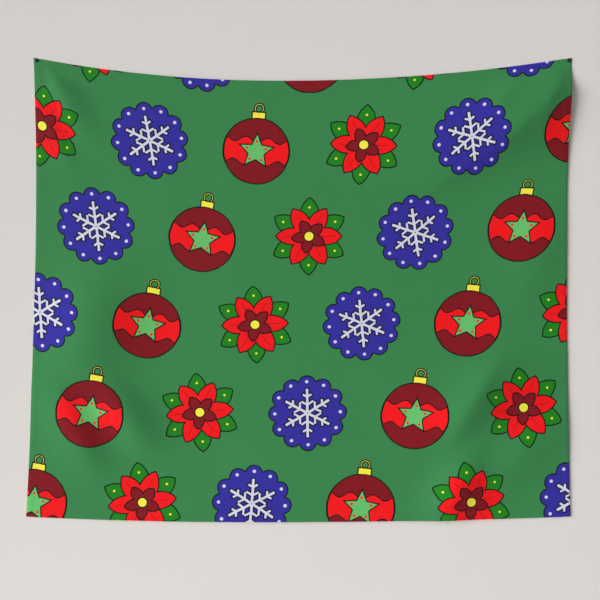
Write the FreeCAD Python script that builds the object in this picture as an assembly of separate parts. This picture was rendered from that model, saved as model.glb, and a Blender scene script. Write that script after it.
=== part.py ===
"""Printed cloth wall hanging, pinned to a wall by a thumb tack through each of its top corners.

Units are millimetres. X runs along the wall, Z is up and Y points into the wall.
The wall's face is the plane y = 0, and the origin lies on it, midway between the two tack pins.
The cloth is one hemmed rectangle. It sags between the tacks and hangs in a few shallow folds.
Pinned cloth that is lifted off the wall bends along a straight line just under the two tacks.
So the cloth is divided there: a small corner stays under each tack, and the rest swings.
"""

import FreeCAD
import Part
import math
import os
from FreeCAD import Vector

# The cloth, laid out along its hung outline
HANG_WIDTH = 1512.0         # between the top corners
HANG_HEIGHT = 1288.0        # from the top corners down to the bottom corners
CLOTH_THICKNESS = 0.4
HEM_WIDTH = 20.0            # double turned hem, on all four sides
HEM_TURNS = 2               # layers turned behind the face cloth
LAYER_CLEARANCE = 0.08      # air between two layers that lie on each other
WALL_CLEARANCE = 0.5        # between the wall and the back of a pinned corner

# The curves of its four edges
TOP_SAG = 66.0              # the top edge's low point, under its corners
TOP_SAG_X = -60.0
BOTTOM_BOW = 15.0           # the bottom edge's low point, under its corners
BOTTOM_BOW_X = -120.0
LEFT_PULL_IN = 8.0          # how far the left edge is drawn in under its top corner
LEFT_PULL_DROP = 310.0      # and how far down that is
LEFT_FLARE = 28.0           # how far it swings out again at the bottom corner
RIGHT_PULL_IN = 16.0
RIGHT_PULL_DROP = 540.0
RIGHT_FLARE = 11.0

# The folds
STANDOFF = 1.5              # the least that hanging cloth stands off the plane of the corners
BELLY = 10.0                # how much further the middle stands out
FLAT_DROP = 95.0            # the cloth has come off that plane this far under the bend
FOLD_HALF_WIDTH = 100.0     # of the widest fold
FOLD_DEPTH = 15.0           # of the deepest
ROW_SPACING = 100.0         # between the level lines that shape it
COLUMN_SPACING = 84.0       # length of one arc along such a line

# The tacks
TACK_INSET_X = 8.0          # from the cloth's side edge in to a tack's centre
TACK_INSET_Z = 7.0          # from its top corner down to a tack's centre
PIN_RADIUS = 0.55
PIN_ROOT_RADIUS = 0.85      # it thickens from the wall's face back to its plate
PIN_POINT = 2.5             # length of the ground point
PIN_IN_WALL = 8.5           # how deep the tip stands in the wall
PIN_CLEARANCE = 0.06        # between the pin's root and the hole that it made in the cloth
PLATE_RADIUS = 4.4
PLATE_THICKNESS = 0.5
CAP_RADIUS = 5.6
CAP_SIDE = 0.9              # height of the cap's upright side
CAP_DOME = 2.2              # height of the dome above it
CAP_SEAT_CLEARANCE = 0.05   # between the plate and the cap that is pressed over it
CAP_TO_CLOTH = 0.3

# The bend
BEND_UNDER_CAP = 3.0        # from a cap's rim down to the line along which the cloth bends
BEND_GAP = 0.6              # opening in the cloth there

# Places that follow from these
SIDE_X = HANG_WIDTH / 2
TACK_X = SIDE_X - TACK_INSET_X
TOP_Z = TACK_INSET_Z
BEND_Z = -CAP_RADIUS - BEND_UNDER_CAP
LAYER_PITCH = CLOTH_THICKNESS + LAYER_CLEARANCE
FACE_Y = -WALL_CLEARANCE - HEM_TURNS * LAYER_PITCH - CLOTH_THICKNESS
CAP_RIM_Y = FACE_Y - CAP_TO_CLOTH
PLATE_BACK_Y = CAP_RIM_Y - CAP_SEAT_CLEARANCE
PLATE_FRONT_Y = PLATE_BACK_Y - PLATE_THICKNESS


class Fold:
    """A soft ridge in the cloth that starts and ends at nothing, along a bent line through three places.

    A place is (across, down): a share of half the cloth's width, from its middle, and a share of its
    height. The fold's half width, measured level, and its depth are shares of the fullest fold's.
    """

    def __init__(self, start, middle, end, half_width, depth):
        self.line = [
            (across * HANG_WIDTH / 2, TOP_Z - down * HANG_HEIGHT) for across, down in (start, middle, end)
        ]
        self.half_width, self.full_depth = half_width * FOLD_HALF_WIDTH, depth * FOLD_DEPTH

    def depth(self, x, z):
        (x0, z0), (x1, z1), (x2, z2) = self.line
        if not z2 < z < z0:
            return 0.0
        crest_x = (
            x0 * (z - z1) * (z - z2) / ((z0 - z1) * (z0 - z2))
            + x1 * (z - z0) * (z - z2) / ((z1 - z0) * (z1 - z2))
            + x2 * (z - z0) * (z - z1) / ((z2 - z0) * (z2 - z1))
        )
        swell = math.sin(math.pi * (z0 - z) / (z0 - z2)) ** 2
        across = (x - crest_x) / self.half_width
        return self.full_depth * swell * math.exp(-across * across)


FOLDS = [
    Fold((1.16, -0.11), (0.77, 0.17), (0.49, 0.41), 0.70, 0.97),        # from the right tack, down and in
    Fold((1.02, 0.08), (0.88, 0.17), (0.88, 0.35), 0.65, 0.28),         # beside it
    Fold((0.72, 0.10), (0.57, 0.26), (0.37, 0.42), 0.50, 0.60),         # where the first one ends
    Fold((-0.99, -0.07), (-0.85, 0.12), (-0.55, 0.34), 0.45, 0.25),     # from the left tack
    Fold((-1.00, 0.05), (-0.95, 0.22), (-0.92, 0.31), 0.85, 0.55),      # beside it
    Fold((-0.62, -0.02), (-0.46, 0.28), (-0.27, 0.46), 0.66, 0.15),     # upper left
    Fold((-0.81, 0.35), (-0.83, 0.54), (-0.96, 0.87), 0.87, 0.85),      # left side
    Fold((-0.93, 0.76), (-0.83, 0.82), (-0.89, 0.95), 0.82, 0.90),      # lower left corner
    Fold((-0.73, 0.59), (-0.65, 0.79), (-0.51, 0.99), 0.78, 0.60),      # lower left
    Fold((0.95, 0.32), (0.82, 0.49), (0.64, 0.81), 0.58, 0.31),         # right side
    Fold((1.06, 0.51), (0.61, 0.76), (0.51, 0.98), 0.65, 1.00),         # lower right
    Fold((1.13, 0.67), (0.78, 0.83), (0.47, 1.11), 0.82, 0.89),         # lower right corner
    Fold((0.58, 0.75), (0.40, 0.83), (0.07, 0.96), 1.00, 0.95),         # lower middle
]


def smooth_step(value, start, end):
    """0 before start, 1 past end, with a smooth ramp between them."""
    t = min(1.0, max(0.0, (value - start) / (end - start)))
    return t * t * (3 - 2 * t)


def arc_rise(run, full_run, full_rise):
    """How far an arc has left its tangent after a run along it. After full_run it has left by full_rise."""
    if full_rise == 0:
        return 0.0
    radius = (full_run ** 2 + full_rise ** 2) / (2 * abs(full_rise))
    return math.copysign(radius - math.sqrt(radius ** 2 - run ** 2), full_rise)


def two_arcs(s, turn, first, last):
    """The height at s of two arcs, from first to last, tangent to each other at turn. Each is (s, height)."""
    end = first if s < turn[0] else last
    return turn[1] + arc_rise(s - turn[0], end[0] - turn[0], end[1] - turn[1])


def place(across, down):
    """Where a point of the cloth's face hangs, from its place along the top edge and down the side."""
    top_drop = two_arcs(across, (TOP_SAG_X, TOP_SAG), (-SIDE_X, 0), (SIDE_X, 0))
    bottom_drop = two_arcs(across, (BOTTOM_BOW_X, BOTTOM_BOW), (-SIDE_X, 0), (SIDE_X, 0))
    left_in = two_arcs(
        down, (LEFT_PULL_DROP, LEFT_PULL_IN), (0, 0), (HANG_HEIGHT, LEFT_PULL_IN - LEFT_FLARE)
    )
    right_in = two_arcs(
        down, (RIGHT_PULL_DROP, RIGHT_PULL_IN), (0, 0), (HANG_HEIGHT, RIGHT_PULL_IN - RIGHT_FLARE)
    )
    to_bottom = smooth_step(down, 2 * HEM_WIDTH, HANG_HEIGHT - 2 * HEM_WIDTH)
    to_right = smooth_step(across, 2 * HEM_WIDTH - SIDE_X, SIDE_X - 2 * HEM_WIDTH)
    x = across + left_in * (1 - to_right) - right_in * to_right
    z = TOP_Z - down - top_drop * (1 - to_bottom) - bottom_drop * to_bottom
    return Vector(x, FACE_Y - standoff(x, z), z)


def standoff(x, z):
    """How far the face of the cloth stands forward of the plane of the pinned corners."""
    down = min(1.0, max(0.0, (TOP_Z - z) / HANG_HEIGHT))
    across = min(1.0, abs(x) / SIDE_X)
    belly = BELLY * math.sin(math.pi * (0.1 + 0.8 * down)) * (1 - across ** 2)
    folds = sum(fold.depth(x, z) for fold in FOLDS)
    return (STANDOFF + belly + folds) * smooth_step(BEND_Z - z, BEND_GAP, FLAT_DROP)


def spread(start, end, spacing):
    """Evenly spaced stations from start to end, an even number of steps, two to a spacing."""
    steps = 2 * max(1, round((end - start) / spacing))
    return [start + (end - start) * i / steps for i in range(steps + 1)]


def chain(points):
    """A line of arcs, each through three points, that ends where it starts the next."""
    edges = []
    for start, middle, end in zip(points[0:-2:2], points[1:-1:2], points[2::2]):
        bend = (middle - (start + end) * 0.5).Length
        curve = Part.Arc(start, middle, end) if bend > 1e-3 else Part.LineSegment(start, end)
        edges.append(curve.toShape())
    return Part.Wire(edges)


def cloth(columns, rows, behind, layers):
    """Layers of the hung cloth between these columns and rows, so far behind its face, as one solid."""
    thick = Vector(0, layers * LAYER_PITCH - LAYER_CLEARANCE, 0)
    lines = [chain([place(across, down) for across in columns]) for down in rows]
    front = Part.makeLoft(lines, False, False)
    front.translate(Vector(0, behind, 0))
    back = front.translated(thick)
    used = [edge.hashCode() for face in front.Faces for edge in face.Edges]
    border = [edge for edge in front.Edges if used.count(edge.hashCode()) == 1]
    skin = Part.makeCompound(front.Faces + back.Faces + [edge.extrude(thick) for edge in border])
    skin.sewShape()
    solid = Part.makeSolid(skin.Shells[0])
    if solid.Volume < 0:
        solid.reverse()
    return solid


TO_HEM = HEM_WIDTH + LAYER_CLEARANCE
LEFT_COLUMNS = spread(-SIDE_X, -SIDE_X + HEM_WIDTH, HEM_WIDTH)
RIGHT_COLUMNS = spread(SIDE_X - HEM_WIDTH, SIDE_X, HEM_WIDTH)
MIDDLE_COLUMNS = spread(-SIDE_X + HEM_WIDTH, SIDE_X - HEM_WIDTH, COLUMN_SPACING)
TOP_ROWS = spread(0, HEM_WIDTH, HEM_WIDTH)
BOTTOM_ROWS = spread(HANG_HEIGHT - HEM_WIDTH, HANG_HEIGHT, HEM_WIDTH)
MIDDLE_ROWS = spread(HEM_WIDTH, HANG_HEIGHT - HEM_WIDTH, 2 * ROW_SPACING)
ALL_COLUMNS = LEFT_COLUMNS[:-1] + MIDDLE_COLUMNS + RIGHT_COLUMNS[1:]
ALL_ROWS = TOP_ROWS[:-1] + MIDDLE_ROWS + BOTTOM_ROWS[1:]


def turns(columns, rows):
    """The turned layers of a hem, behind the face cloth."""
    return cloth(columns, rows, LAYER_PITCH, HEM_TURNS)


def half_space(z, side):
    """A box with all that lies above z, or with a negative side below it."""
    reach = HANG_WIDTH + HANG_HEIGHT
    box = Part.makeBox(2 * reach, 2 * reach, reach)
    box.translate(Vector(-reach, -reach, z if side > 0 else z - reach))
    return box


def under_bend(shape):
    """What hangs below the bend."""
    return shape.common(half_space(BEND_Z - BEND_GAP / 2, -1))


def at_corner(shape, side):
    """What stays at the left (-1) or right (1) top corner, above the bend, with the hole for its tack."""
    above = shape.common(half_space(BEND_Z + BEND_GAP / 2, 1))
    solids = [solid for solid in above.Solids if solid.CenterOfMass.x * side > 0]
    start = Vector(side * TACK_X, FACE_Y - HEM_WIDTH, 0)
    hole = Part.makeCylinder(PIN_ROOT_RADIUS + PIN_CLEARANCE, 2 * HEM_WIDTH, start, Vector(0, 1, 0))
    return [solid.cut(hole) for solid in solids]


def revolved(outline, x):
    """A solid of revolution about a tack's axis. Its outline is lines, and arcs of three places."""
    edges = []
    for corners in outline:
        points = [Vector(radius, y, 0) for radius, y in corners]
        curve = Part.Arc(*points) if len(points) == 3 else Part.LineSegment(*points)
        edges.append(curve.toShape())
    solid = Part.Face(Part.Wire(edges)).revolve(Vector(0, 0, 0), Vector(0, 1, 0), 360)
    solid.translate(Vector(x, 0, 0))
    return solid


def make_tack_pin(x):
    """The steel tack: a ground pin, straight in the wall, with a thicker root headed over a round plate."""
    corners = [
        (0.0, PIN_IN_WALL),
        (PIN_RADIUS, PIN_IN_WALL - PIN_POINT),
        (PIN_RADIUS, 0.0),
        (PIN_ROOT_RADIUS, PLATE_BACK_Y),
        (PLATE_RADIUS, PLATE_BACK_Y),
        (PLATE_RADIUS, PLATE_FRONT_Y),
        (0.0, PLATE_FRONT_Y),
    ]
    return revolved(list(zip(corners, corners[1:] + corners[:1])), x)


def make_tack_cap(x):
    """The moulded cap: a shallow dome with an upright side, hollow underneath for the tack's plate."""
    seat_radius = PLATE_RADIUS + CAP_SEAT_CLEARANCE
    seat_y = PLATE_FRONT_Y - CAP_SEAT_CLEARANCE
    side_y = CAP_RIM_Y - CAP_SIDE
    crown_y = side_y - CAP_DOME
    dome_radius = (CAP_RADIUS ** 2 + CAP_DOME ** 2) / (2 * CAP_DOME)
    half_angle = math.asin(CAP_RADIUS / dome_radius) / 2
    on_dome = (dome_radius * math.sin(half_angle), crown_y + dome_radius * (1 - math.cos(half_angle)))
    outline = [
        ((0.0, seat_y), (0.0, crown_y)),
        ((0.0, crown_y), on_dome, (CAP_RADIUS, side_y)),
        ((CAP_RADIUS, side_y), (CAP_RADIUS, CAP_RIM_Y)),
        ((CAP_RADIUS, CAP_RIM_Y), (seat_radius, CAP_RIM_Y)),
        ((seat_radius, CAP_RIM_Y), (seat_radius, seat_y)),
        ((seat_radius, seat_y), (0.0, seat_y)),
    ]
    return revolved(outline, x)


def save(name, solids):
    """Writes one piece and says what it is."""
    shape = solids[0] if len(solids) == 1 else Part.makeCompound(solids)
    print(f"{name}: {len(solids)} solid, valid {shape.isValid()}, {shape.Volume:.1f} mm3")
    shape.exportStep(f"parts/{name}.step")


def main():
    os.makedirs("parts", exist_ok=True)
    face = cloth(ALL_COLUMNS, ALL_ROWS, 0, 1)
    between = [-SIDE_X + TO_HEM] + MIDDLE_COLUMNS[1:-1] + [SIDE_X - TO_HEM]
    top = turns(between, TOP_ROWS)
    save("panel", under_bend(face).Solids)
    save("top_hem", under_bend(top).Solids)
    save("bottom_hem", turns(between, BOTTOM_ROWS).Solids)
    for name, side, columns in (("left", -1, LEFT_COLUMNS), ("right", 1, RIGHT_COLUMNS)):
        hem = turns(columns, ALL_ROWS)
        save(f"{name}_hem", under_bend(hem).Solids)
        save(f"{name}_corner", at_corner(face, side))
        save(f"{name}_corner_hem", at_corner(hem, side) + at_corner(top, side))
        save(f"{name}_tack_pin", [make_tack_pin(side * TACK_X)])
        save(f"{name}_tack_cap", [make_tack_cap(side * TACK_X)])


main()
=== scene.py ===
# %% [markdown]
# # A printed wall hanging on two thumb tacks
# The real thing is one hemmed rectangle of thin polyester, printed on its face and pale on its back.
# Two domed tacks hold its top corners to a wall. It sags between them and hangs in a few soft folds.
# The sizes come from a measured frame: each piece here takes the place of a plain solid in it.
# Everything is in metres. X runs along the wall, Z is up and Y points into the wall, whose face is y = 0.

# %% Load the frame
import math

import bmesh
import bpy
from mathutils import Matrix, Vector, noise


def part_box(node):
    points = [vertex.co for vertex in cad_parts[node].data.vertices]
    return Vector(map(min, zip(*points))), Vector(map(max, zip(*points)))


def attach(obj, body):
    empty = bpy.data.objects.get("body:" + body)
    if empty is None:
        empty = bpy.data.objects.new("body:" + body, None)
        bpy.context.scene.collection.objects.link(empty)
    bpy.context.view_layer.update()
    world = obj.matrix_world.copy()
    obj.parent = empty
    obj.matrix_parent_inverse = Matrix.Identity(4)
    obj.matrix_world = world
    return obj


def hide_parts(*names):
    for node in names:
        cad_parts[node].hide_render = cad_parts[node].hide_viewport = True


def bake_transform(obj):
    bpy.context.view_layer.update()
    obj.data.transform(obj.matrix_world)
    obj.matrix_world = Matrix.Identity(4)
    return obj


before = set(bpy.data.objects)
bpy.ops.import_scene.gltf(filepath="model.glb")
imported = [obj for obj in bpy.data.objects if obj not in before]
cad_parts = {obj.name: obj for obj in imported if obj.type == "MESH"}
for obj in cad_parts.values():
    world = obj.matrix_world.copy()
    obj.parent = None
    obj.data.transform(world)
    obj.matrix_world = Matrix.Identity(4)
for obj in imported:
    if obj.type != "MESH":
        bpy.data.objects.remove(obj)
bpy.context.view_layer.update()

# %% [markdown]
# ## Camera
# The picture is taken from straight in front, from over two metres away, so the wall shows no lean.
# The view's width is a measured value. The distance follows from it and from the lens.

# %% Place the camera
MM = 0.001
VIEW_WIDTH = 1.687
VIEW_CENTRE = Vector((-0.0077, 0.0, -0.6734))
LENS = 50.0                 # millimetres, on a sensor 36 mm wide
SENSOR = 36.0

camera_data = bpy.data.cameras.new("camera")
camera_data.lens = LENS
camera_data.sensor_width = SENSOR
camera = bpy.data.objects.new("camera", camera_data)
camera.location = VIEW_CENTRE + Vector((0, -VIEW_WIDTH * LENS / SENSOR, 0))
camera.rotation_euler = (math.pi / 2, 0, 0)
bpy.context.collection.objects.link(camera)
bpy.context.scene.camera = camera
print("camera distance:", round(-camera.location.y, 3))

# %% [markdown]
# ## How the cloth hangs
# A cloth simulation could find a drape, but not this one: the folds are where the pinned corners and
# the creases of the packet put them. So the hung shape is a formula. It takes a place on the flat
# cloth, given as its distance across from the middle and down from the top, and says where that
# place hangs. The edges are pairs of arcs, and each fold is a soft ridge along a bent line.

# %% The hemmed outline
HANG_WIDTH = 1512 * MM
HANG_HEIGHT = 1288 * MM
SIDE_X = HANG_WIDTH / 2
TOP_Z = 7 * MM
TOP_LOW = (-60 * MM, 66 * MM)           # the top edge's lowest place: across, and under its corners
BOTTOM_LOW = (-120 * MM, 15 * MM)
LEFT_IN = (310 * MM, 8 * MM)            # how far down the left edge is drawn in most, and how much
RIGHT_IN = (540 * MM, 16 * MM)
LEFT_FLARE = 28 * MM                    # how far it swings out again at the bottom corner
RIGHT_FLARE = 11 * MM
HEM_WIDTH = 20 * MM
THICKNESS = 0.3 * MM
PITCH = 0.48 * MM                       # from one layer of a hem to the next
BEND_Z = -8.6 * MM                      # pinned cloth bends along this line, just under the tacks
FACE_Y = -1.66 * MM                     # middle of the face layer where it is pinned


def smooth_step(value, start, end):
    """0 before start, 1 past end, with a smooth ramp between them."""
    t = min(1.0, max(0.0, (value - start) / (end - start)))
    return t * t * (3 - 2 * t)


def two_arcs(s, turn, first, last):
    """The height at s of two arcs, from first to last, that meet level at turn. Each is (s, height)."""
    end = first if s < turn[0] else last
    run, rise = end[0] - turn[0], end[1] - turn[1]
    radius = (run ** 2 + rise ** 2) / (2 * abs(rise))
    return turn[1] + math.copysign(radius - math.sqrt(radius ** 2 - (s - turn[0]) ** 2), rise)


# %% The folds
FOLD_WIDTH = 100 * MM
FOLD_DEPTH = 21 * MM
GATHERED = 0.2              # share of its width that a fold keeps at the tacks, where folds run together
# Each fold: three places down its crest, then its width to the left, its width to the right, its depth
# and how crisp its crest is. Widths and depths are shares of the two values above. A place is a share
# of half the cloth's width, from its middle, and a share of its height, from the top.
MAIN_FOLDS = [
    ((0.93, -0.15), (0.82, 0.14), (0.13, 0.38), 2.0, 0.7, 1.3, 5.0),        # crease from the right tack
    ((0.92, -0.06), (0.76, 0.07), (0.62, 0.20), 0.4, 0.35, 0.15, 0.1),      # above it
    ((0.96, 0.27), (0.86, 0.44), (0.77, 0.62), 0.7, 0.7, 0.2, 0.1),         # right side
    ((-1.05, -0.10), (-0.90, 0.07), (-0.74, 0.23), 0.35, 0.5, 0.5, 0.1),    # from the left tack
    ((-1.01, 0.04), (-0.94, 0.15), (-0.79, 0.31), 0.3, 0.25, 0.15, 0.1),    # below it
    ((-0.76, 0.36), (-0.80, 0.60), (-0.86, 0.84), 1.2, 1.2, 1.1, 0.1),      # left side
    ((-0.75, 0.66), (-0.65, 0.78), (-0.55, 0.90), 0.6, 0.7, 0.9, 0.1),      # lower left
    ((-0.98, 0.66), (-0.85, 0.80), (-0.76, 0.96), 0.8, 0.55, 0.8, 0.1),     # lower left corner
    ((0.78, 0.60), (0.61, 0.77), (0.50, 0.90), 0.6, 0.6, 1.15, 3.0),        # crease at the lower right
    ((1.03, 0.72), (0.82, 0.85), (0.68, 1.01), 0.7, 1.0, 0.45, 0.1),        # lower right corner
    ((0.66, 0.81), (0.57, 0.94), (0.51, 1.07), 0.7, 0.6, 1.0, 0.1),         # bottom edge
]
FINE_FOLDS = [
    ((1.00, -0.03), (0.85, 0.05), (0.66, 0.09), 0.16, 0.16, 0.07, 0.1),     # tight lines from the right tack
    ((1.01, -0.02), (0.91, 0.10), (0.85, 0.21), 0.15, 0.15, 0.06, 0.1),
    ((-1.00, -0.03), (-0.87, 0.04), (-0.71, 0.07), 0.15, 0.15, 0.06, 0.1),  # and from the left one
    ((-1.01, -0.02), (-0.95, 0.10), (-0.91, 0.19), 0.14, 0.14, 0.05, 0.1),
]
STANDOFF = 1.5 * MM         # the least that hanging cloth stands off the plane of its corners
BELLY = 9 * MM              # how much further the middle stands out
FLAT_DROP = 90 * MM         # the cloth has come off that plane this far under the bend
RIPPLE = 1.1 * MM           # height of its uneven swells
RIPPLE_SIZE = 160 * MM      # and how far apart they are
RIPPLE_STRETCH = 0.4        # they are longer down the cloth than across it
RIPPLE_SEED = 3.7
PUCKER = 0.45 * MM          # waves along the sewn edges
PUCKER_LENGTH = 46 * MM
PUCKER_REACH = 26 * MM
PUCKER_SEED = 9.1


def fold_depth(fold, x, z):
    """How far one fold lifts the cloth at x, z. It starts and ends at nothing."""
    *crest, left_width, right_width, depth, crispness = fold
    hung_crest = [(across * SIDE_X, TOP_Z - down * HANG_HEIGHT) for across, down in crest]
    (x0, z0), (x1, z1), (x2, z2) = hung_crest
    if not z2 < z < z0:
        return 0.0
    crest_x = (
        x0 * (z - z1) * (z - z2) / ((z0 - z1) * (z0 - z2))
        + x1 * (z - z0) * (z - z2) / ((z1 - z0) * (z1 - z2))
        + x2 * (z - z0) * (z - z1) / ((z2 - z0) * (z2 - z1))
    )
    swell = math.sin(math.pi * (z0 - z) / (z0 - z2)) ** 2
    narrowed = GATHERED + (1 - GATHERED) * smooth_step(BEND_Z - z, 0.0, FLAT_DROP)
    width = FOLD_WIDTH * narrowed * (left_width if x < crest_x else right_width)
    beside = (x - crest_x) / width
    fall = (math.sqrt(1 + 2 * crispness * beside ** 2) - 1) / crispness
    return depth * FOLD_DEPTH * swell * math.exp(-fall)


def standoff(x, z, edge):
    """How far the cloth stands forward of its pinned corners at x, z, this far in from its nearest edge."""
    down = min(1.0, max(0.0, (TOP_Z - z) / HANG_HEIGHT))
    across = min(1.0, abs(x) / SIDE_X)
    lift = STANDOFF + BELLY * math.sin(math.pi * (0.1 + 0.8 * down)) * (1 - across ** 2)
    lift += sum(fold_depth(fold, x, z) for fold in MAIN_FOLDS)
    swell = noise.noise(Vector((x / RIPPLE_SIZE, RIPPLE_STRETCH * z / RIPPLE_SIZE, RIPPLE_SEED)))
    lift += RIPPLE * (0.5 + swell)
    lift *= smooth_step(BEND_Z - z, 0.0, FLAT_DROP)
    near_tacks = smooth_step(BEND_Z - z, 0.0, FLAT_DROP / 3)
    lift += near_tacks * sum(fold_depth(fold, x, z) for fold in FINE_FOLDS)
    wave = noise.noise(Vector((x / PUCKER_LENGTH, z / PUCKER_LENGTH, PUCKER_SEED)))
    return lift + near_tacks * PUCKER * (0.5 + wave) * math.exp(-edge / PUCKER_REACH)


def place(across, down):
    """Where a place on the hemmed cloth hangs."""
    top_drop = two_arcs(across, TOP_LOW, (-SIDE_X, 0), (SIDE_X, 0))
    bottom_drop = two_arcs(across, BOTTOM_LOW, (-SIDE_X, 0), (SIDE_X, 0))
    left_in = two_arcs(down, LEFT_IN, (0, 0), (HANG_HEIGHT, LEFT_IN[1] - LEFT_FLARE))
    right_in = two_arcs(down, RIGHT_IN, (0, 0), (HANG_HEIGHT, RIGHT_IN[1] - RIGHT_FLARE))
    to_bottom = smooth_step(down, 2 * HEM_WIDTH, HANG_HEIGHT - 2 * HEM_WIDTH)
    to_right = smooth_step(across, 2 * HEM_WIDTH - SIDE_X, SIDE_X - 2 * HEM_WIDTH)
    x = across + left_in * (1 - to_right) - right_in * to_right
    z = TOP_Z - down - top_drop * (1 - to_bottom) - bottom_drop * to_bottom
    edge = max(0.0, min(SIDE_X - abs(across), down, HANG_HEIGHT - down))
    return Vector((x, FACE_Y - standoff(x, z, edge), z))


print("the middle of the top edge hangs at", [round(v, 4) for v in place(0, 0)])

# %% [markdown]
# ## The cloth, cut with its hems
# The cloth is cut larger than it hangs. Past each edge the extra strip is turned behind twice, so that
# the raw edge lies hidden inside. The same formula does this: a place past the edge goes round a
# tight half turn, runs in behind the face, and turns back once more. The mesh is one flat grid, with
# closer lines at the edges. Its corners are notched, as a sewer cuts away what would pile up there.

# %% Turn the hems
OUTER_TURN = math.pi * PITCH            # half a turn, from the face to the second layer behind it
INNER_TURN = math.pi * PITCH / 2        # and from there back to the first
RAW_GAP = 1.0 * MM                      # the raw edge stops this far short of the fold
HEM_TAKES = OUTER_TURN + HEM_WIDTH + INNER_TURN + HEM_WIDTH - RAW_GAP
TO_HEM = HEM_WIDTH + PITCH              # the top and bottom hems run between the side hems


def turned(past):
    """How far in from the edge, and how many layers behind, a place lies that was cut this far past it."""
    if past <= OUTER_TURN:
        angle = past / PITCH
        return -PITCH * math.sin(angle), 1 - math.cos(angle)
    if past <= OUTER_TURN + HEM_WIDTH:
        return past - OUTER_TURN, 2.0
    past -= OUTER_TURN + HEM_WIDTH
    if past <= INNER_TURN:
        angle = 2 * past / PITCH
        return HEM_WIDTH + PITCH / 2 * math.sin(angle), 1.5 + math.cos(angle) / 2
    return HEM_WIDTH - (past - INNER_TURN), 1.0


def hung(u, v):
    """Where a place of the flat cut cloth hangs: u across from its middle, v down from its top fold."""
    in_u, behind_u = turned(abs(u) - SIDE_X) if abs(u) > SIDE_X else (SIDE_X - abs(u), 0.0)
    in_v, behind_v = 0.0, 0.0
    down = v
    if v < 0:
        in_v, behind_v = turned(-v)
        down = in_v
    elif v > HANG_HEIGHT:
        in_v, behind_v = turned(v - HANG_HEIGHT)
        down = HANG_HEIGHT - in_v
    point = place(math.copysign(SIDE_X - in_u, u), down)
    point.y += (behind_u + behind_v) * PITCH
    return point


# %% Where the grid's lines lie
STITCH_IN = HEM_WIDTH - 1.5 * MM        # the row of stitches, in from the edge
TACK_IN_X = 8 * MM                      # the tack's centre, in from the side edge
TACK_IN_Z = 7 * MM                      # and down from the top edge
PIN_HOLE = 1.0 * MM                     # radius of the hole that the pin made
RIM_REACH = 1.6 * PIN_HOLE              # takes in the corners of the square that becomes the hole
GRID_STEP = 8.4 * MM


def past_edge(pin_in):
    """The lines of a turned strip, as distances past the edge, with a pair around the pin in each layer."""
    lines = [OUTER_TURN * i / 4 for i in range(1, 5)]
    lines += [OUTER_TURN + pin_in - PIN_HOLE, OUTER_TURN + pin_in + PIN_HOLE]
    lines += [OUTER_TURN + STITCH_IN, OUTER_TURN + HEM_WIDTH]
    lines += [OUTER_TURN + HEM_WIDTH + INNER_TURN * i / 3 for i in range(1, 4)]
    lines += [lines[-1] + HEM_WIDTH - pin_in - PIN_HOLE, lines[-1] + HEM_WIDTH - pin_in + PIN_HOLE]
    return lines + [HEM_TAKES]


def grid_lines(extent, pin_in):
    """All lines across one direction, from one raw edge to the other. 0 is the first edge's fold."""
    near = [0.0, pin_in - PIN_HOLE, pin_in + PIN_HOLE, STITCH_IN - MM, STITCH_IN, STITCH_IN + MM, TO_HEM]
    steps = round((extent - 2 * TO_HEM) / GRID_STEP)
    middle = [TO_HEM + (extent - 2 * TO_HEM) * i / steps for i in range(1, steps)]
    past = past_edge(pin_in)
    return (
        [-line for line in reversed(past)] + near + middle
        + [extent - line for line in reversed(near)] + [extent + line for line in past]
    )


# %% Make the cloth
def flat_cloth(columns, rows):
    """The cut cloth, flat, as a bmesh with its corners notched. X is across and Y is how far down."""
    cloth = bmesh.new()
    bmesh.ops.create_grid(cloth, x_segments=len(columns) - 1, y_segments=len(rows) - 1, size=1.0)
    for vert in cloth.verts:
        column = round((vert.co.x + 1) / 2 * (len(columns) - 1))
        row = round((vert.co.y + 1) / 2 * (len(rows) - 1))
        vert.co = (columns[column] - SIDE_X, rows[row], 0)
    notch = [
        face for face in cloth.faces
        if abs(face.calc_center_median().x) > SIDE_X - TO_HEM
        and not 0 < face.calc_center_median().y < HANG_HEIGHT
    ]
    bmesh.ops.delete(cloth, geom=notch, context="FACES")
    return cloth


def open_pin_holes(cloth):
    """Opens a round hole for the pin in each layer at both top corners."""
    insets = [TACK_IN_X, -OUTER_TURN - TACK_IN_X, -HEM_TAKES - RAW_GAP + TACK_IN_X]
    for side in (-1, 1):
        for inset in insets:
            centre = Vector((side * (SIDE_X - inset), TACK_IN_Z, 0))
            found = [f for f in cloth.faces if (f.calc_center_median() - centre).length < PIN_HOLE / 2]
            edges = found[0].edges[:]
            bmesh.ops.delete(cloth, geom=found, context="FACES_ONLY")
            cut = bmesh.ops.subdivide_edges(cloth, edges=edges, cuts=2)
            split = [part for part in cut["geom"] if isinstance(part, bmesh.types.BMEdge)]
            rim = {vert for edge in split for vert in edge.verts}
            for vert in rim:
                if (vert.co - centre).length < RIM_REACH:
                    vert.co = centre + (vert.co - centre).normalized() * PIN_HOLE


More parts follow.
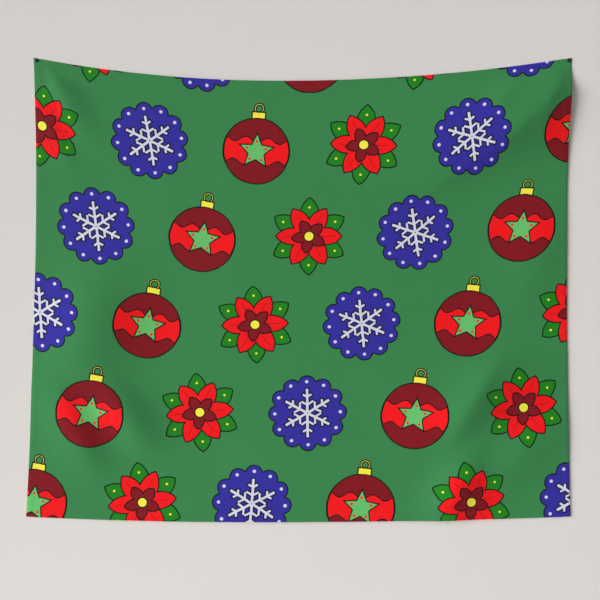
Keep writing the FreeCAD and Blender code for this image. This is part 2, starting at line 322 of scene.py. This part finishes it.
def make_cloth():
    columns = grid_lines(HANG_WIDTH, TACK_IN_X)
    rows = grid_lines(HANG_HEIGHT, TACK_IN_Z)
    cloth = flat_cloth(columns, rows)
    open_pin_holes(cloth)
    flat = cloth.loops.layers.uv.new("flat")
    for face in cloth.faces:
        for loop in face.loops:
            loop[flat].uv = (loop.vert.co.x, -loop.vert.co.y)
    for vert in cloth.verts:
        vert.co = hung(vert.co.x, vert.co.y)
    cloth.normal_update()
    middle = min(cloth.faces, key=lambda f: (f.calc_center_median() - place(0, HANG_HEIGHT / 2)).length)
    if middle.normal.y > 0:
        bmesh.ops.reverse_faces(cloth, faces=cloth.faces)
    mesh = bpy.data.meshes.new("tapestry")
    cloth.to_mesh(mesh)
    cloth.free()
    mesh.shade_smooth()
    piece = bpy.data.objects.new("tapestry", mesh)
    bpy.context.collection.objects.link(piece)
    solid = piece.modifiers.new("thickness", "SOLIDIFY")
    solid.thickness = THICKNESS
    solid.offset = 0
    solid.material_offset = 1
    solid.material_offset_rim = 1
    return piece


tapestry = make_cloth()
print("cloth:", len(tapestry.data.vertices), "vertices,", len(tapestry.data.polygons), "faces")

# %% [markdown]
# ## Shader sums
# A printed pattern is arithmetic on distances. Wiring Math nodes by hand hides that, so one small
# class holds a socket and lets Python's own operators add the nodes.

# %% A socket that can be added and multiplied
class Value:
    """A socket that carries a number. Sums with it add Math nodes to its material."""

    def __init__(self, paint, socket):
        self.paint, self.socket = paint, socket

    def math(self, operation, *others, clamp=False):
        settings = {"operation": operation, "use_clamp": clamp}
        return self.paint.add("ShaderNodeMath", settings, dict(enumerate((self, *others))))

    def __add__(self, other):
        return self.math("ADD", other)

    def __sub__(self, other):
        return self.math("SUBTRACT", other)

    def __rsub__(self, other):
        return self.math("MULTIPLY_ADD", -1.0, other)

    def __mul__(self, other):
        return self.math("MULTIPLY", other)

    def __truediv__(self, other):
        return self.math("DIVIDE", other)

    def __abs__(self):
        return self.math("ABSOLUTE")

    __radd__ = __add__
    __rmul__ = __mul__

    def floor(self):
        return self.math("FLOOR")

    def least(self, other):
        return self.math("MINIMUM", other)

    def most(self, other):
        return self.math("MAXIMUM", other)

    def clamped(self):
        return self.math("ADD", 0.0, clamp=True)


class Paint:
    """A material under construction, and the one method that adds a node to it."""

    def __init__(self, name):
        self.material = bpy.data.materials.new(name)
        self.material.use_nodes = True
        self.nodes = self.material.node_tree.nodes
        self.links = self.material.node_tree.links
        self.shader = next(node for node in self.nodes if node.type == "BSDF_PRINCIPLED")

    def plug(self, socket, value):
        if isinstance(value, Value):
            self.links.new(value.socket, socket)
        else:
            socket.default_value = value

    def add(self, kind, settings, sockets, output=0):
        node = self.nodes.new(kind)
        for name, value in settings.items():
            setattr(node, name, value)
        for name, value in sockets.items():
            self.plug(node.inputs[name], value)
        return Value(self, node.outputs[output])

    def set(self, **sockets):
        for name, value in sockets.items():
            self.plug(self.shader.inputs[name.replace("_", " ")], value)

    def colour(self, red, green, blue):
        """An sRGB colour, from numbers of 0 to 255."""
        part = [v / 255 for v in (red, green, blue)]
        return (*[v / 12.92 if v <= 0.04045 else ((v + 0.055) / 1.055) ** 2.4 for v in part], 1.0)

    def mix(self, share, under, over, blend="MIX"):
        settings = {"data_type": "RGBA", "blend_type": blend}
        return self.add("ShaderNodeMix", settings, {0: share, 6: under, 7: over}, output=2)

    def noise(self, where, scale, detail=2.0):
        settings = {"noise_dimensions": "3D"}
        return self.add("ShaderNodeTexNoise", settings, {"Vector": where, "Scale": scale, "Detail": detail})

    def parts(self, vector):
        """The X and the Y of a vector."""
        return [self.add("ShaderNodeSeparateXYZ", {}, {"Vector": vector}, output=axis) for axis in "XY"]

    def bump(self, height, depth, strength):
        sockets = {"Strength": strength, "Distance": depth, "Height": height}
        return self.add("ShaderNodeBump", {}, sockets)

    def on_object(self):
        """The place on the piece itself, in metres."""
        return self.add("ShaderNodeTexCoord", {}, {}, output="Object")


# %% [markdown]
# ## The print
# The design is a plain seasonal one in three motifs: a red bauble with a pale green star, a red flower
# with green leaves and a yellow heart, and a blue roundel with a snow star. They stand in staggered rows.
# Every outline is a distance from the motif's centre lines, so it stays sharp however close one looks.

# %% Shapes drawn as distances
OUTLINE = 3.2 * MM          # the drawn line round each shape
INK_EDGE = 0.7 * MM         # how softly ink ends on this cloth


def inked(distance, grown=0.0):
    """1 inside a shape that is grown by so much, 0 outside it. Ink ends softly."""
    return (0.5 - (distance - grown) / INK_EDGE).clamped()


def length(x, y):
    return (x * x + y * y).math("SQRT")


def folded(x, y, count, turn=0.0):
    """The plane folded into one of count equal wedges, so what is drawn once shows count times."""
    angle = y.math("ARCTAN2", x) + turn
    wedge = math.pi / count
    angle = angle.math("WRAP", wedge, -wedge)
    radius = length(x, y)
    return radius * angle.math("COSINE"), radius * angle.math("SINE")


def leaf(along, beside, near, far, half_width):
    """Distance to a pointed leaf that runs from near to far."""
    half = (far - near) / 2
    bow = (half ** 2 + half_width ** 2) / (2 * half_width)
    return length(along - (near + half), abs(beside) + (bow - half_width)) - bow


def star(along, beside, count, tip, notch):
    """Distance to a star whose tips and notches are this far from its centre."""
    x = notch * math.cos(math.pi / count) - tip
    y = notch * math.sin(math.pi / count)
    size = math.hypot(x, y)
    return (along - tip) * (y / size) + abs(beside) * (-x / size)


def bar(along, beside, near, far, half_width):
    """Distance to a straight bar with square ends."""
    return (abs(along - (near + far) / 2) - (far - near) / 2).most(abs(beside) - half_width)


def dot(along, beside, away, radius):
    return length(along - away, beside) - radius


# %% The three motifs
BLACK = (14, 16, 16)
DARK_RED = (125, 20, 30)
RED = (235, 20, 25)
LIGHT_GREEN = (100, 185, 105)
LEAF_GREEN = (30, 125, 30)
YELLOW = (238, 228, 70)
BLUE = (50, 45, 150)
PALE = (205, 205, 225)


def layer(paint, under, distance, colour, outline=True):
    """A shape in one colour, over what is under it, with a drawn line round it."""
    if outline:
        under = paint.mix(inked(distance, OUTLINE / 2), under, paint.colour(*BLACK))
        distance = distance + OUTLINE / 2
    return paint.mix(inked(distance), under, paint.colour(*colour))


def bauble(paint, ground, x, y):
    """A hanging ball with a wavy band, a star on it and a cap with a loop."""
    radius = 86 * MM
    loop_height = radius + 26 * MM
    loop_radius = 11 * MM
    wire_radius = 2.2 * MM
    cap_height = radius + 6 * MM
    cap_half_width = 17 * MM
    cap_half_height = 11 * MM
    band_half_height = 30 * MM
    wave_length = 58 * MM
    wave_height = 7 * MM
    y = y + 12 * MM             # the ball hangs under the middle, so that its loop has room
    loop = abs(length(x, y - loop_height) - loop_radius) - wire_radius
    colour = layer(paint, ground, loop, YELLOW)
    cap = (abs(x) - cap_half_width).most(abs(y - cap_height) - cap_half_height)
    colour = layer(paint, colour, cap, YELLOW)
    ball = length(x, y) - radius
    colour = layer(paint, colour, ball, DARK_RED)
    wave = (x * (2 * math.pi / wave_length)).math("COSINE") * wave_height
    band = (abs(y) - band_half_height + wave).most(ball + OUTLINE / 2)
    colour = layer(paint, colour, band, RED)
    along, beside = folded(x, y, 5, turn=-math.pi / 2)
    colour = layer(paint, colour, star(along, beside, 5, tip=47 * MM, notch=22 * MM), LIGHT_GREEN)
    bead = dot(along, beside, away=26 * MM, radius=3.5 * MM)
    return layer(paint, colour, bead, RED, outline=False)


def flower(paint, ground, x, y):
    """A red flower over green leaves, with a yellow heart and yellow specks on its leaves."""
    along, beside = folded(x, y, 6, turn=math.pi / 6)
    leaves = leaf(along, beside, near=16 * MM, far=104 * MM, half_width=24 * MM)
    colour = layer(paint, ground, leaves, LEAF_GREEN)
    speck = dot(along, beside, away=78 * MM, radius=3 * MM)
    colour = layer(paint, colour, speck, YELLOW, outline=False)
    along, beside = folded(x, y, 6)
    petals = leaf(along, beside, near=0.0, far=86 * MM, half_width=23 * MM)
    colour = layer(paint, colour, petals, RED)
    vein = bar(along, beside, near=28 * MM, far=66 * MM, half_width=0.7 * MM)
    colour = layer(paint, colour, vein, DARK_RED, outline=False)
    along, beside = folded(x, y, 5, turn=0.5)
    inner_petals = leaf(along, beside, near=0.0, far=46 * MM, half_width=14 * MM)
    colour = layer(paint, colour, inner_petals, DARK_RED)
    heart = length(x, y) - 13 * MM
    return layer(paint, colour, heart, YELLOW)


def roundel(paint, ground, x, y):
    """A blue disc with a scalloped rim, a ring of white dots and a branched snow star."""
    along, beside = folded(x, y, 12)
    scallops = dot(along, beside, away=78 * MM, radius=21.5 * MM)
    disc = length(x, y) - 86 * MM
    colour = layer(paint, ground, scallops.least(disc), BLUE)
    rim_dots = dot(along, beside, away=84 * MM, radius=4.2 * MM)
    colour = layer(paint, colour, rim_dots, PALE, outline=False)
    along, beside = folded(x, y, 6, turn=math.pi / 6)
    beside = abs(beside)
    arm = bar(along, beside, near=0.0, far=66 * MM, half_width=4.8 * MM)
    lean = math.radians(60)
    for foot, reach in ((22 * MM, 20 * MM), (43 * MM, 15 * MM)):
        out = (along - foot) * math.cos(lean) + beside * math.sin(lean)
        off = beside * math.cos(lean) - (along - foot) * math.sin(lean)
        arm = arm.least(bar(out, off, near=0.0, far=reach, half_width=4.2 * MM))
    return layer(paint, colour, arm, PALE)


# %% Repeat them over the cloth
COLUMN_PITCH = 304 * MM
ROW_PITCH = 262 * MM
PRINT_SHIFT = (0.130, 0.058)        # where the cut falls in the repeat
MOTIF_SCALE = 1.1
WOBBLE = 4.5 * MM                   # the lines are drawn by hand, not with a ruler
WOBBLE_SCALE = 22.0
MOST_LEAN = 0.16                    # radians: no two motifs beside each other stand alike
GROUND = (56, 127, 74)


def printed(paint):
    """The printed colour at every place of the flat cloth, and the flat cloth's own coordinates."""
    where = paint.add("ShaderNodeUVMap", {"uv_map": "flat"}, {})
    u, v = paint.parts(where)
    across = (u + PRINT_SHIFT[0]) / COLUMN_PITCH
    up = (v + PRINT_SHIFT[1]) / ROW_PITCH
    row = up.floor()
    across = across + row * 0.5
    column = across.floor()
    x = (across - column - 0.5) * COLUMN_PITCH
    y = (up - row - 0.5) * ROW_PITCH
    lean = (column * 2.1 + row * 3.7).math("SINE") * MOST_LEAN
    turn_x, turn_y = lean.math("COSINE"), lean.math("SINE")
    x, y = x * turn_x - y * turn_y, x * turn_y + y * turn_x
    drift = paint.add("ShaderNodeTexNoise", {}, {"Vector": where, "Scale": WOBBLE_SCALE}, output="Color")
    drift_x, drift_y = paint.parts(drift)
    x = (x + (drift_x - 0.5) * WOBBLE) / MOTIF_SCALE
    y = (y + (drift_y - 0.5) * WOBBLE) / MOTIF_SCALE
    kind = (column + row * 2.0).math("FLOORED_MODULO", 3.0)
    ground = paint.colour(*GROUND)
    colour = bauble(paint, ground, x, y)
    for number, motif in ((1, flower), (2, roundel)):
        chosen = (1.5 - abs(kind - number)).math("GREATER_THAN", 1.0)
        colour = paint.mix(chosen, colour, motif(paint, ground, x, y))
    return colour, where, u, v


# %% [markdown]
# ## Printed polyester
# The yarn is fine and dull, so close up the face shows a plain weave and from afar only a soft matte
# sheen. The ink sits in the yarn: the back shows the same design, pale and washed out.

# %% The two sides of the cloth
YARN = 0.55 * MM            # from one yarn to the next
WEAVE_DEPTH = 0.06 * MM
SLUB_SCALE = 900.0          # uneven yarns, per metre
SLUB_HEIGHT = 1.2           # how high uneven yarns and the stitches' dent are, in depths of the weave
DENT_HEIGHT = 5.0
STITCH_DENT = 1.6 * MM      # half width of the dent that the thread pulls
SHADE_SCALE = 5.0           # slow changes in the dye, per metre
UNPRINTED = (226, 230, 226)
INK_LOST = 0.70             # share of the ink that doesn't reach the back


def woven(u, v):
    """Height of a plain weave: one yarn passes over the next, turn and turn about."""
    warp = (u * (2 * math.pi / YARN)).math("SINE")
    weft = (v * (2 * math.pi / YARN)).math("SINE")
    return warp * weft


def sewn_dent(u, v):
    """1 along the rows of stitches, fading to 0 on both sides of them."""
    from_side = abs(SIDE_X - STITCH_IN - abs(u))
    from_top = abs(v + STITCH_IN)
    from_bottom = abs(v + (HANG_HEIGHT - STITCH_IN))
    return (1.0 - from_side.least(from_top).least(from_bottom) / STITCH_DENT).clamped()


def cloth_side(name, ink_lost):
    """One side of the cloth, on which this share of the ink is missing."""
    paint = Paint(name)
    colour, where, u, v = printed(paint)
    if ink_lost:
        colour = paint.mix(ink_lost, colour, paint.colour(*UNPRINTED))
    slub = paint.noise(where, SLUB_SCALE, detail=1.0)
    shade = paint.noise(where, SHADE_SCALE)
    light = 0.90 + slub * 0.12 + shade * 0.08
    tint = paint.add("ShaderNodeCombineColor", {}, {0: light, 1: light, 2: light})
    colour = paint.mix(1.0, colour, tint, blend="MULTIPLY")
    height = woven(u, v) + slub * SLUB_HEIGHT - sewn_dent(u, v) * DENT_HEIGHT
    relief = paint.bump(height, WEAVE_DEPTH, strength=0.5)
    paint.set(Base_Color=colour, Roughness=0.72 + slub * 0.14, Normal=relief)
    paint.set(Sheen_Weight=0.06, Sheen_Roughness=0.45, Specular_IOR_Level=0.12)
    return paint.material


tapestry.data.materials.append(cloth_side("printed face", 0.0))
tapestry.data.materials.append(cloth_side("pale back", INK_LOST))
print("print:", len(tapestry.data.materials[0].node_tree.nodes), "nodes")

# %% [markdown]
# ## Stitches
# Each hem is held by one straight row of lockstitch. From a step away it is only a fine dotted line.
# So every stitch is a small bean of twenty faces, laid along the row and dented into the cloth.

# %% Sew the hems
STITCH_PITCH = 3.2 * MM
STITCH_LENGTH = 2.5 * MM
THREAD_RADIUS = 0.17 * MM
FIBRE_SCALE = 2600.0
THREAD_SHADOW = (38, 92, 52)
THREAD_GREEN = (66, 132, 82)


def seam(start, end):
    """The places of one row of stitches on the flat cloth, and which way the row runs."""
    start, end = Vector(start), Vector(end)
    count = round((end - start).length / STITCH_PITCH)
    places = [start.lerp(end, (i + 0.5) / count) for i in range(count)]
    return places, (end - start).normalized()


def sew(rows, behind):
    """Stitches along these rows, this far behind the middle of the face layer."""
    thread = bmesh.new()
    for start, end in rows:
        places, heading = seam(start, end)
        for spot in places:
            tail, tip = (hung(*(spot + heading * STITCH_LENGTH / 2 * way)) for way in (-1, 1))
            middle = (tail + tip) / 2 + Vector((0, behind, 0))
            turn = (tip - tail).to_track_quat("X", "Z").to_matrix().to_4x4()
            size = Matrix.Diagonal((STITCH_LENGTH / 2, THREAD_RADIUS, THREAD_RADIUS, 1.0))
            bmesh.ops.create_icosphere(
                thread, subdivisions=1, radius=1.0, matrix=Matrix.Translation(middle) @ turn @ size
            )
    mesh = bpy.data.meshes.new("stitches")
    thread.to_mesh(mesh)
    thread.free()
    mesh.shade_smooth()
    return mesh


def thread_finish():
    paint = Paint("green thread")
    fibre = paint.noise(paint.on_object(), FIBRE_SCALE, detail=1.0)
    colour = paint.mix(fibre, paint.colour(*THREAD_SHADOW), paint.colour(*THREAD_GREEN))
    relief = paint.bump(fibre, 0.05 * MM, strength=0.4)
    paint.set(Base_Color=colour, Normal=relief, Roughness=0.55, Specular_IOR_Level=0.3)
    return paint.material


LEFT_ROW, RIGHT_ROW = -SIDE_X + STITCH_IN, SIDE_X - STITCH_IN
BOTTOM_ROW = HANG_HEIGHT - STITCH_IN
ROWS = [
    ((LEFT_ROW, STITCH_IN), (RIGHT_ROW, STITCH_IN)),
    ((LEFT_ROW, BOTTOM_ROW), (RIGHT_ROW, BOTTOM_ROW)),
    ((LEFT_ROW, STITCH_IN), (LEFT_ROW, BOTTOM_ROW)),
    ((RIGHT_ROW, STITCH_IN), (RIGHT_ROW, BOTTOM_ROW)),
]
stitches = []
thread_paint = thread_finish()
for name, behind in (("front_stitches", -THICKNESS / 2), ("back_stitches", 2 * PITCH + THICKNESS / 2)):
    piece = bpy.data.objects.new(name, sew(ROWS, behind))
    piece.data.materials.append(thread_paint)
    bpy.context.collection.objects.link(piece)
    stitches.append(piece)
    print(name + ":", len(piece.data.polygons), "faces")

# %% [markdown]
# ## Thumb tacks
# A tack's cap is moulded black plastic, pressed over the steel head. Its outline is spun about the
# pin: a rolled rim, a short side and a shallow dome. The steel pins keep the frame's own shape.

# %% Spin the caps
SPIN_STEPS = 64
ROLL_STEPS = 6
DOME_STEPS = 12
SEAT_SHARE = 0.79           # radius of the seat for the steel head, as a share of the cap's
SIDE_SHARE = 0.70           # how far from crown to rim the dome's depth is counted
SEAT_SINK = 0.1 * MM
RIM_ROLL = 0.25 * MM        # radius of the rolled rim
SAME_PLACE = 0.001 * MM
CAP_BLACK = (15, 15, 17)
CAP_SMEARED = (30, 30, 33)
STEEL_DARK = (168, 168, 172)
STEEL_BRIGHT = (214, 213, 210)
DRAWN_SCALE = (9000.0, 400.0, 9000.0)       # fine lines along the pin


def spun(name, outline, axis_x):
    """A closed piece, spun about a line along Y at axis_x. The outline is (radius, y) pairs."""
    moulding = bmesh.new()
    verts = [moulding.verts.new((radius, y, 0)) for radius, y in outline]
    edges = [moulding.edges.new(pair) for pair in zip(verts, verts[1:])]
    bmesh.ops.spin(
        moulding, geom=verts + edges, cent=(0, 0, 0), axis=(0, 1, 0), angle=2 * math.pi,
        steps=SPIN_STEPS, use_merge=True,
    )
    bmesh.ops.remove_doubles(moulding, verts=moulding.verts, dist=SAME_PLACE)
    bmesh.ops.recalc_face_normals(moulding, faces=moulding.faces)
    bmesh.ops.translate(moulding, verts=moulding.verts, vec=(axis_x, 0, 0))
    mesh = bpy.data.meshes.new(name)
    moulding.to_mesh(mesh)
    moulding.free()
    mesh.shade_smooth()
    piece = bpy.data.objects.new(name, mesh)
    bpy.context.collection.objects.link(piece)
    return piece


def cap_outline(low, high):
    """The cap's half section, from the seat of the steel head to the crown. low and high are its box."""
    rim_y, crown_y = high.y, low.y
    radius = (high.x - low.x) / 2
    seat = radius * SEAT_SHARE
    dome = (rim_y - crown_y) * SIDE_SHARE
    seat_y = crown_y + dome - SEAT_SINK
    bow = (radius ** 2 + dome ** 2) / (2 * dome)
    outline = [(0.0, seat_y), (seat, seat_y), (seat, rim_y - SEAT_SINK)]
    for i in range(ROLL_STEPS + 1):
        angle = math.pi * i / ROLL_STEPS
        across = radius - RIM_ROLL - RIM_ROLL * math.cos(angle)
        outline.append((across, rim_y - RIM_ROLL + RIM_ROLL * math.sin(angle)))
    for i in range(DOME_STEPS + 1):
        across = radius * math.cos(math.pi / 2 * i / DOME_STEPS)
        outline.append((across, crown_y + bow - math.sqrt(bow ** 2 - across ** 2)))
    return outline


def cap_finish():
    paint = Paint("moulded black plastic")
    where = paint.on_object()
    grain = paint.noise(where, 1400.0)
    smear = paint.noise(where, 260.0)
    colour = paint.mix(smear, paint.colour(*CAP_BLACK), paint.colour(*CAP_SMEARED))
    relief = paint.bump(grain, 0.02 * MM, strength=0.25)
    paint.set(Base_Color=colour, Roughness=0.36 + smear * 0.2, Normal=relief, Specular_IOR_Level=0.35)
    return paint.material


def steel_finish():
    paint = Paint("nickel plated steel")
    drawn = paint.add("ShaderNodeMapping", {}, {"Vector": paint.on_object(), "Scale": DRAWN_SCALE})
    line = paint.noise(drawn, 1.0)
    colour = paint.mix(line, paint.colour(*STEEL_DARK), paint.colour(*STEEL_BRIGHT))
    relief = paint.bump(line, 0.01 * MM, strength=0.2)
    paint.set(Base_Color=colour, Metallic=1.0, Roughness=0.22 + line * 0.18, Normal=relief)
    return paint.material


cap_paint, steel_paint = cap_finish(), steel_finish()
for side in ("left", "right"):
    low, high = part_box(f"{side}_tack_cap")
    cap = spun(f"{side}_cap", cap_outline(low, high), (low.x + high.x) / 2)
    cap.data.materials.append(cap_paint)
    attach(cap, f"{side}_tack")
    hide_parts(f"{side}_tack_cap")
    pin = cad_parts[f"{side}_tack_pin"]
    for slot in pin.material_slots:
        slot.material = steel_paint
    print(cap.name + ":", len(cap.data.polygons), "faces")

# %% [markdown]
# ## Set the frame's cloth aside
# Lifted off the wall, the cloth would stay flat under the tacks and swing below them, but nothing here bends
# it.
# The cloth and its stitches are fixed where they hang, and the frame's plain solids for them are hidden.

# %% Fix the pieces where they hang and hide the frame's cloth
for piece in (tapestry, *stitches):
    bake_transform(piece)
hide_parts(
    "panel", "top_hem", "bottom_hem", "left_hem", "right_hem",
    "left_corner", "right_corner", "left_corner_hem", "right_corner_hem",
)
CUT_WIDTH = HANG_WIDTH + 2 * HEM_TAKES
CUT_HEIGHT = HANG_HEIGHT + 2 * HEM_TAKES
NOTCHES = 4 * HEM_TAKES * (HEM_TAKES + TO_HEM)
CUT_WIDTH * CUT_HEIGHT - NOTCHES
print("cut size:", round(CUT_WIDTH, 4), "by", round(CUT_HEIGHT, 4))

# %% [markdown]
# ## Wall, floor and light
# The wall is pale and plain, right behind the cloth. Seen from behind it is clear, and light goes by
# it, so that the back of the cloth can be looked at too. The main light is soft and comes from the
# left, across the cloth, which is what draws the folds. A low lamp and the floor brighten the foot of
# the wall. Together they light a flat face to about its own colour. One more lamp lights the back.

# %% Stage
FLOOR_Z = -2.1
WALL_HALF = 6.0
WALL_BACK = 0.02 * MM           # the wall stands this little behind y = 0, so that no two faces meet
PLASTER_SCALE = 38.0            # its roughness, per metre
PLASTER_DEPTH = 0.6 * MM
PLASTER = (214, 210, 207)
FLOOR = (212, 208, 204)


def one_sided(name, colour):
    """A plain matte surface that can't be seen from behind, and that a lamp shines through."""
    paint = Paint(name)
    mottle = paint.noise(paint.on_object(), PLASTER_SCALE, detail=5.0)
    relief = paint.bump(mottle, PLASTER_DEPTH, strength=0.25)
    paint.set(Base_Color=paint.colour(*colour), Roughness=0.9, Specular_IOR_Level=0.1, Normal=relief)
    behind = paint.add("ShaderNodeNewGeometry", {}, {}, output="Backfacing")
    lamp_ray = paint.add("ShaderNodeLightPath", {}, {}, output="Is Shadow Ray")
    clear = paint.add("ShaderNodeBsdfTransparent", {}, {})
    matte = Value(paint, paint.shader.outputs[0])
    both = paint.add("ShaderNodeMixShader", {}, {0: behind.most(lamp_ray), 1: matte, 2: clear})
    output = next(node for node in paint.nodes if node.type == "OUTPUT_MATERIAL")
    paint.links.new(both.socket, output.inputs["Surface"])
    return paint.material


def staged_plane(name, matrix, finish):
    plane = bmesh.new()
    bmesh.ops.create_grid(plane, x_segments=1, y_segments=1, size=WALL_HALF, matrix=matrix)
    mesh = bpy.data.meshes.new(name)
    plane.to_mesh(mesh)
    plane.free()
    mesh.materials.append(finish)
    piece = bpy.data.objects.new(name, mesh)
    bpy.context.collection.objects.link(piece)


upright = Matrix.Translation((0, WALL_BACK, FLOOR_Z + WALL_HALF)) @ Matrix.Rotation(math.pi / 2, 4, "X")
staged_plane("wall", upright, one_sided("pale plaster", PLASTER))
level = Matrix.Translation((0, WALL_BACK - WALL_HALF, FLOOR_Z))
staged_plane("floor", level, one_sided("pale floor", FLOOR))


# %% Light
SUN_LEVEL = 0.64                            # shares of a flat face's light
SUN_FROM = Vector((-1.85, -1.0, 0.45))      # towards the lamp
SUN_SPREAD = math.radians(45)
LOW_LEVEL = 0.11
LOW_LAMP = Vector((-0.9, -2.4, -2.6))       # where it stands: its light comes up past the floor
LOW_SIZE = 1.2
BACK_LEVEL = 0.7
BACK_FROM = Vector((0.5, 1.0, -0.15))       # lights only the back of the cloth
SKY_LEVEL = 0.16


def add_light(name, kind, towards, **settings):
    data = bpy.data.lights.new(name, kind)
    for setting, value in settings.items():
        setattr(data, setting, value)
    lamp = bpy.data.objects.new(name, data)
    lamp.rotation_euler = towards.to_track_quat("Z", "Y").to_euler()
    lamp.visible_camera = False
    bpy.context.collection.objects.link(lamp)
    return lamp


for name, level, towards in (("key", SUN_LEVEL, SUN_FROM), ("back", BACK_LEVEL, BACK_FROM)):
    facing = abs(towards.normalized().y)
    add_light(name, "SUN", towards, energy=level * math.pi / facing, angle=SUN_SPREAD)
away = LOW_LAMP - VIEW_CENTRE
low_energy = LOW_LEVEL * math.pi ** 2 * away.length_squared / (-away.normalized().y)
low = add_light("low lamp", "AREA", away, energy=low_energy, size=LOW_SIZE)
low.location = LOW_LAMP
world = bpy.data.worlds.new("studio")
world.use_nodes = True
sky = next(node for node in world.node_tree.nodes if node.type == "BACKGROUND")
sky.inputs["Color"].default_value = (1.0, 1.0, 1.0, 1.0)
sky.inputs["Strength"].default_value = SKY_LEVEL
bpy.context.scene.world = world
bpy.context.scene.view_settings.view_transform = "Standard"
